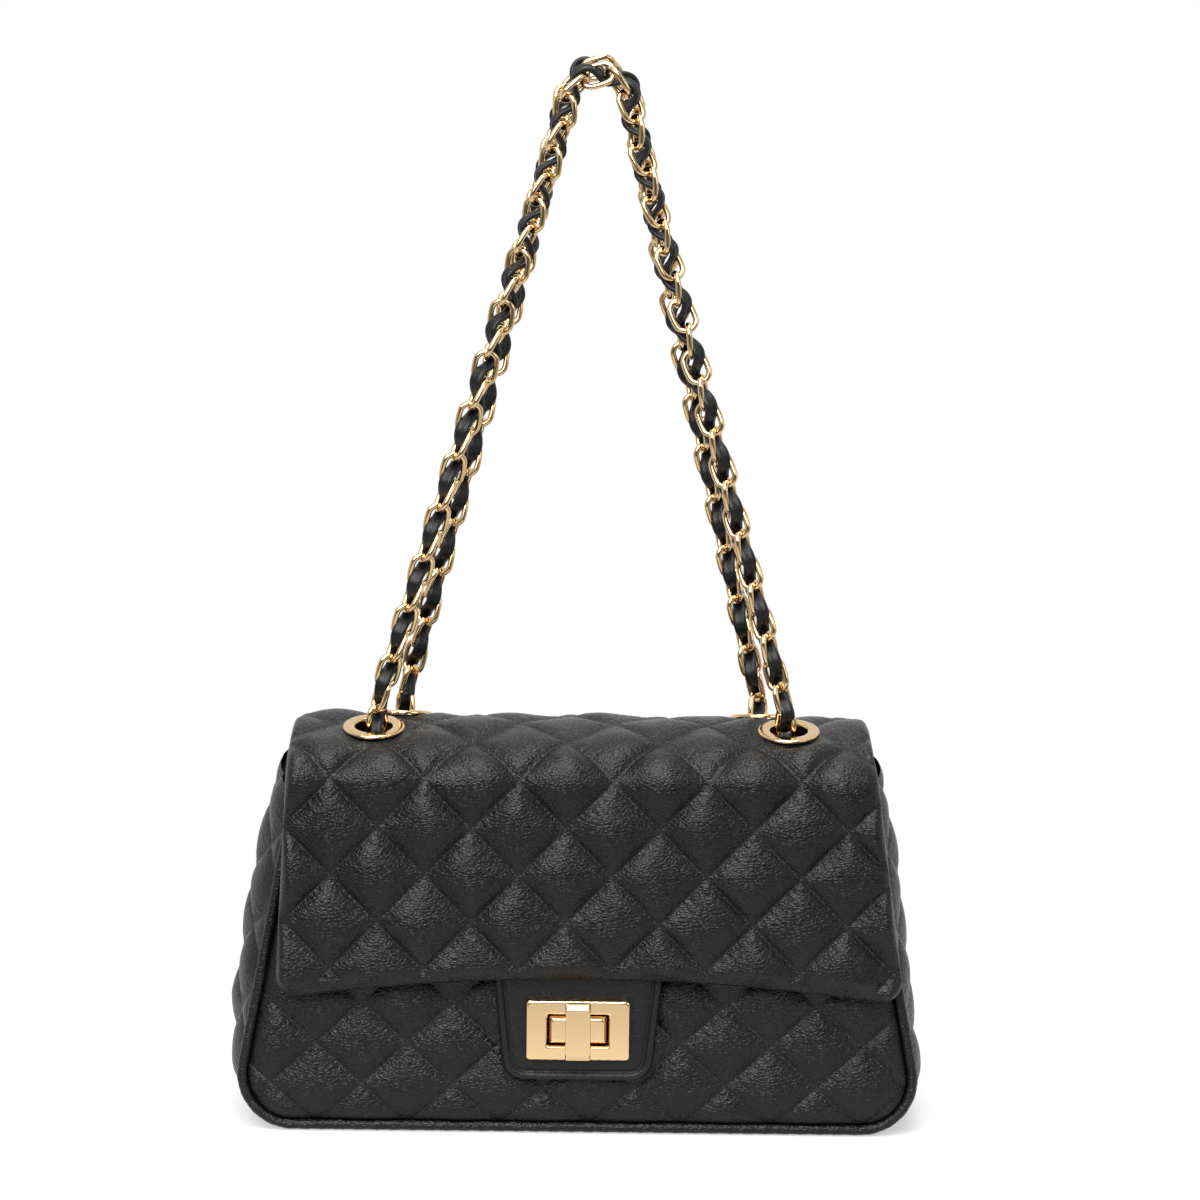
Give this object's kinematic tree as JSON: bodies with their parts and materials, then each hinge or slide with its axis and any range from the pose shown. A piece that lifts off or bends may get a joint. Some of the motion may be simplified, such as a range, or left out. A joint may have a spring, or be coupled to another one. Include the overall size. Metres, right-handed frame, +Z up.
{
  "type": "chain shoulder bag",
  "caption": "Quilted leather flap bag with a turn lock on a tongue and a double shoulder chain, laced with leather, that runs through grommets in the top of the flap",
  "frame": {"origin": "centre of the flat base, on the floor", "axes": "+X to the right seen from the front, +Y to the back, +Z up"},
  "size_m": [0.2726, 0.0861, 0.4174],
  "materials": {
    "black_leather": "fine grain, quilted, soft sheen",
    "lace_leather": "smooth folded strip",
    "lining_leather": "smooth, matt",
    "lining_cloth": "plain woven",
    "stiffener": "plain board",
    "gold_metal": "polished pale gold"
  },
  "bodies": {
    "body": {"front_panel": "black_leather", "back_panel": "black_leather", "left_gusset": "black_leather", "right_gusset": "black_leather", "base_panel": "black_leather", "front_piping": "black_leather", "back_piping": "black_leather", "front_board": "stiffener", "back_board": "stiffener", "base_board": "stiffener", "lining": "lining_cloth", "mouth_facing": "lining_leather", "lock_boss": "gold_metal", "lock_washer": "gold_metal", "turn_spring": "gold_metal"},
    "turn_bar": {"turn_bar": "gold_metal"},
    "flap": {"flap_cover": "black_leather", "flap_lining": "lining_leather", "tongue": "black_leather", "tongue_lining": "lining_leather", "lock_plate": "gold_metal", "lock_plate_washer": "gold_metal", "front_left_grommet": "gold_metal", "front_right_grommet": "gold_metal", "rear_left_grommet": "gold_metal", "rear_right_grommet": "gold_metal", "front_left_grommet_washer": "gold_metal", "front_right_grommet_washer": "gold_metal", "rear_left_grommet_washer": "gold_metal", "rear_right_grommet_washer": "gold_metal", "left_inner_chain": "gold_metal", "right_inner_chain": "gold_metal"},
    "front_strap": {"front_chain_left_leg": "gold_metal", "front_chain_crown": "gold_metal", "front_chain_right_leg": "gold_metal", "front_lace_left": "lace_leather", "front_lace_right": "lace_leather"},
    "rear_strap": {"rear_chain_left_leg": "gold_metal", "rear_chain_crown": "gold_metal", "rear_chain_right_leg": "gold_metal", "rear_lace_left": "lace_leather", "rear_lace_right": "lace_leather"}
  },
  "joints": [
    {"name": "flap_open", "type": "hinge", "parent": "body", "child": "flap", "pos_m": [0, 0.029, 0.1493], "axis": [-1, 0, 0], "range_deg": [0, 110]},
    {"name": "turn_bar_turn", "type": "hinge", "parent": "body", "child": "turn_bar", "pos_m": [0, -0.03709, 0.044], "axis": [0, -0.9998, 0.0206], "range_deg": [0, 90]},
    {"name": "front_strap_swing", "type": "hinge", "parent": "flap", "child": "front_strap", "pos_m": [0, -0.02057, 0.16668], "axis": [1, 0, 0], "range_deg": [0, 100]},
    {"name": "rear_strap_swing", "type": "hinge", "parent": "flap", "child": "rear_strap", "pos_m": [0, 0.01471, 0.16636], "axis": [1, 0, 0], "range_deg": [-65, 0]}
  ]
}
